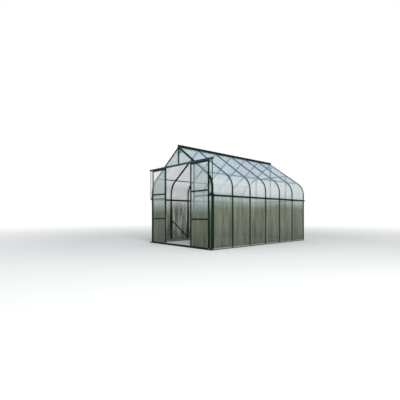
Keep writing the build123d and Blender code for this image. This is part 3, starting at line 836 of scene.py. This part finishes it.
# Angle brackets that hold the door rail to the gable, with their bolts and those of the corner brackets
hold = {
    "places": (-0.50, 0.0, 0.50),
    "width": 0.045,
    "thick": 0.003,
    "rise": 0.028,
    "inset": 0.004,  # from the rail's front face
    "gap": 0.0002,
    "bolts": 0.012,
    "boltRise": 0.017,
    "edge": 0.0005,
}
corner = {
    "front": ((0.014, 0.078), (0.060, 0.036), (0.018, 0.017)),  # in from the outer edge and up
    "side": ((0.016, 0.078), (0.048, 0.052)),  # the same on the side face
    "size": 0.0045,
    "heads": (0.0012, 0.0030),
}
railLow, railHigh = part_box("door_rail")
brackets, bracketBolts = bmesh.new(), bmesh.new()
front, top = -gableFace, railHigh[2]
for x in hold["places"]:
    x0, x1 = x - hold["width"] / 2, x + hold["width"] / 2
    seat, nearFace = top + hold["gap"], front - hold["gap"]
    block(brackets, (x0, railLow[1] + hold["inset"], seat), (x1, nearFace, top + hold["thick"]))
    block(brackets, (x0, front - hold["thick"], seat), (x1, nearFace, top + hold["rise"]))
    for offset in (-hold["bolts"], hold["bolts"]):
        bolt(bracketBolts, (x + offset, front - hold["thick"], top + hold["boltRise"]), (0, -1, 0))
        bolt(bracketBolts, (x + offset, (railLow[1] + railHigh[1]) / 2, top + hold["thick"]), (0, 0, 1))
placePiece("railBrackets", brackets, greenCoat, "house", hold["edge"])
low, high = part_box("eave_brackets")
frontHead, sideHead = corner["heads"]
for sign in (-1, 1):
    for inset, up in corner["front"]:
        place = (sign * (high[0] - inset), low[1], low[2] + up)
        bolt(bracketBolts, place, (0, -1, 0), corner["size"], frontHead, False)
    for inset, up in corner["side"]:
        place = (sign * high[0], low[1] + inset, low[2] + up)
        bolt(bracketBolts, place, (sign, 0, 0), corner["size"], sideHead)
placePiece("bracketBolts", bracketBolts, zincSteel, "house")

# Inside: gussets at the peak and the jamb tops, cleats at the rib feet, bolts of the purlins and brace
inner = {
    "thick": 0.0025,
    "gap": 0.0002,
    "edge": 0.0003,
}
peakGusset = {
    "crown": 0.046,  # its top below the apex
    "half": (0.095, 0.026),  # half widths at the shoulders and at the foot
    "deep": 0.030,
    "tall": 0.13,
    "bolts": ((-0.065, -0.062), (0.065, -0.062), (0, -0.045), (0, -0.105)),
}
jambGusset = {
    "half": 0.016,
    "arms": (0.050, 0.060),  # along the tie beam and down the jamb
    "bolts": ((-0.038, 0.0), (0.0, 0.0), (0.0, -0.045)),
}
cleat = {"wide": 0.034, "foot": 0.028, "bolts": 0.010, "boltHeight": 0.045, "boltSize": 0.004}
cross = {
    "purlin": 0.080,  # from the end of the bend up to the purlins' bolts
    "purlinFlange": 0.003,
    "brace": (0.600, 0.070),  # heights of the brace's bolts at the second and the third rib
}
gussets, innerBolts = bmesh.new(), bmesh.new()
crown = house["apex"] - peakGusset["crown"]
broad, narrow = peakGusset["half"]
shoulder, foot = crown - broad * drop, crown - peakGusset["tall"]
fan = [(-broad, shoulder - peakGusset["deep"]), (-narrow, foot), (narrow, foot),
       (broad, shoulder - peakGusset["deep"]), (broad, shoulder), (0, crown), (-broad, shoulder)]
half, (armAlong, armDown) = jambGusset["half"], jambGusset["arms"]
elbow = [(-armAlong, half), (half, half), (half, -armDown),
         (-half, -armDown), (-half, -half), (-armAlong, -half)]
for end in (-1, 1):
    middle = end * (house["gable"] - house["foot"] - inner["thick"] / 2 - inner["gap"])
    inside = middle - end * inner["thick"] / 2
    plate(gussets, fan, inner["thick"], (0, middle, 0))
    for x, z in peakGusset["bolts"]:
        bolt(innerBolts, (x, inside, crown + z), (0, -end, 0))
    for sign in (-1, 1):
        mirrored = [(sign * a, b) for a, b in elbow]
        plate(gussets, mirrored, inner["thick"], (sign * house["jamb"], middle, house["tie"]))
        for x, z in jambGusset["bolts"]:
            bolt(innerBolts, (sign * (house["jamb"] + x), inside, house["tie"] + z), (0, -end, 0))
ribFoot = house["wall"] - house["foot"]
cleatFace = ribFoot - inner["thick"]
purlinX = house["wall"] - (bendRun + cross["purlin"]) * math.cos(slopeAngle)
purlinZ = apexFoot - purlinX * drop
intoX, intoZ = -math.sin(slopeAngle), -math.cos(slopeAngle)
for y in stations[1:-1]:
    for sign in (-1, 1):
        block(gussets, (sign * cleatFace, y - cleat["wide"] / 2, cleat["foot"]),
              (sign * (ribFoot - inner["gap"]), y + cleat["wide"] / 2, cleat["foot"] + cleat["wide"]))
        for offset in (-cleat["bolts"], cleat["bolts"]):
            place = (sign * cleatFace, y + offset, cleat["boltHeight"])
            bolt(innerBolts, place, (-sign, 0, 0), cleat["boltSize"])
        flange = cross["purlinFlange"]
        place = (sign * (purlinX + flange * intoX), y, purlinZ + flange * intoZ)
        bolt(innerBolts, place, (sign * intoX, 0, intoZ))
for y, z in zip(stations[1:], cross["brace"]):
    bolt(innerBolts, (house["skin"] - ribFoot, y, z), (1, 0, 0))
placePiece("innerPlates", gussets, zincSteel, "house", inner["edge"])
placePiece("innerBolts", innerBolts, zincSteel, "house")
print("ridge, rail and inner fittings")

# Door leaves: corner screws, brush seals along the stiles, buffers at the outer edges, glides in the track
leafScrew = {"inset": 0.015, "apart": 0.007, "size": 0.0032, "head": 0.0020}
seal = {
    "meeting": (0.0015, 0.004),  # brush where the leaves meet: how far it stands out, and half its width
    "meetingEnds": (0.010, 0.006),  # short of the stile's foot and top
    "back": (0.003, 0.0035),  # brushes behind the stiles, the same
    "backEnds": (0.020, 0.012),
    "backInset": 0.010,
    "buffer": (0.0035, 0.008, 0.012),  # how far it stands out, half its width and half its height
    "bufferEnds": 0.09,
    "edge": 0.0008,
}
glide = {"long": 0.034, "half": 0.006, "deep": 0.0065, "inset": 0.05, "edge": 0.001}
for side, sign in (("left", -1), ("right", 1)):
    body = f"{side}_door"
    low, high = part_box(f"{side}_door_stiles")
    barLow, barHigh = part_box(f"{side}_door_rails")
    front, back, foot, top = low[1], high[1], low[2], high[2]
    middle = (front + back) / 2
    pitch = (barHigh[2] - barLow[2] - house["leafBar"]) / house["panes"]
    fixings = bmesh.new()
    for row in range(house["panes"] + 1):
        z = barLow[2] + house["leafBar"] / 2 + row * pitch
        for x in (low[0] + leafScrew["inset"], high[0] - leafScrew["inset"]):
            for offset in (-leafScrew["apart"], leafScrew["apart"]):
                place = (x, front, z + offset)
                bolt(fixings, place, (0, -1, 0), leafScrew["size"], leafScrew["head"], False)
    placePiece(f"leafScrews_{side}", fixings, zincSteel, body)

    seals = bmesh.new()
    meeting, outer = (high[0], low[0]) if sign < 0 else (low[0], high[0])
    (out, half), (under, over) = seal["meeting"], seal["meetingEnds"]
    block(seals, (meeting, middle - half, foot + under), (meeting - sign * out, middle + half, top - over))
    (out, half), (under, over) = seal["back"], seal["backEnds"]
    for x in (low[0] + seal["backInset"], high[0] - seal["backInset"]):
        block(seals, (x - half, back, foot + under), (x + half, back + out, top - over))
    out, half, halfTall = seal["buffer"]
    for z in (foot + seal["bufferEnds"], top - seal["bufferEnds"]):
        block(seals, (outer, middle - half, z - halfTall), (outer + sign * out, middle + half, z + halfTall))
    placePiece(f"leafSeals_{side}", seals, blackRubber, body, seal["edge"])

    glides = bmesh.new()
    for x in (low[0] + glide["inset"], high[0] - glide["inset"] - glide["long"]):
        block(glides, (x, middle - glide["half"], foot - glide["deep"]),
              (x + glide["long"], middle + glide["half"], foot))
    placePiece(f"leafGlides_{side}", glides, blackRubber, body, glide["edge"])
print("door fittings")

# Floor: plain, pale, turning white away from the greenhouse
floorLook = {
    "near": (0.66, 0.66, 0.65),
    "far": (1.0, 1.0, 1.0),
    "fade": (4.0, 15.0),
    "roughness": 0.9,
    "size": 120.0,
    "drop": 0.001,
}


def makeFloor(name):
    material, tree, shader = newMaterial(name)
    place = placeOf(tree)[0]
    away = addNode(tree, "ShaderNodeVectorMath", {"operation": "LENGTH"}, in0=place).outputs["Value"]
    fade = ramp(tree, away, floorLook["fade"])
    tree.links.new(mixColour(tree, fade, floorLook["near"], floorLook["far"]), shader.inputs["Base Color"])
    shader.inputs["Roughness"].default_value = floorLook["roughness"]
    white = addNode(tree, "ShaderNodeEmission", None, Color=(1, 1, 1, 1), Strength=1.0).outputs[0]
    rays = addNode(tree, "ShaderNodeLightPath").outputs
    mirrored = calc(tree, "MAXIMUM", rays["Is Glossy Ray"], rays["Is Transmission Ray"])
    seen = times(tree, fade, calc(tree, "MAXIMUM", rays["Is Camera Ray"], mirrored))
    whole = addNode(tree, "ShaderNodeMixShader", None, in0=seen, in1=shader.outputs[0], in2=white)
    tree.links.new(whole.outputs[0], tree.nodes["Material Output"].inputs["Surface"])
    mesh = bpy.data.meshes.new(name)
    build = bmesh.new()
    bmesh.ops.create_grid(build, x_segments=2, y_segments=2, size=floorLook["size"] / 2,
                          matrix=Matrix.Translation((0, 0, -floorLook["drop"])))
    build.to_mesh(mesh)
    build.free()
    mesh.materials.append(material)
    floor = bpy.data.objects.new(name, mesh)
    bpy.context.collection.objects.link(floor)


makeFloor("paleGround")

# Soft studio light: even and pale from all round, with one large lamp from the upper right front
light = {
    "sky": (0.93, 0.97, 1.0),
    "skyStrength": 0.72,
    "lampPower": 900.0,
    "lampSize": 5.0,
    "lampPlace": (7.5, -5.0, 8.5),
    "lampAim": (0, 0, 1),
}
world = bpy.data.worlds.new("studio")
bpy.context.scene.world = world
world.use_nodes = True
sky = world.node_tree
background = sky.nodes["Background"]
background.inputs["Color"].default_value = (*light["sky"], 1.0)
background.inputs["Strength"].default_value = light["skyStrength"]
plainWhite = addNode(sky, "ShaderNodeBackground", None, Color=(1, 1, 1, 1), Strength=1.0)
rays = addNode(sky, "ShaderNodeLightPath")
shown = calc(sky, "MAXIMUM", rays.outputs["Is Camera Ray"], rays.outputs["Is Transmission Ray"])
both = addNode(sky, "ShaderNodeMixShader", None, in0=shown, in1=background.outputs[0],
               in2=plainWhite.outputs[0])
sky.links.new(both.outputs[0], sky.nodes["World Output"].inputs["Surface"])
lampData = bpy.data.lights.new("softLamp", "AREA")
lampData.energy = light["lampPower"]
lampData.size = light["lampSize"]
lamp = bpy.data.objects.new("softLamp", lampData)
lamp.location = light["lampPlace"]
lamp.rotation_euler = (Vector(light["lampAim"]) - lamp.location).to_track_quat("-Z", "Y").to_euler()
bpy.context.collection.objects.link(lamp)
print("studio ready")
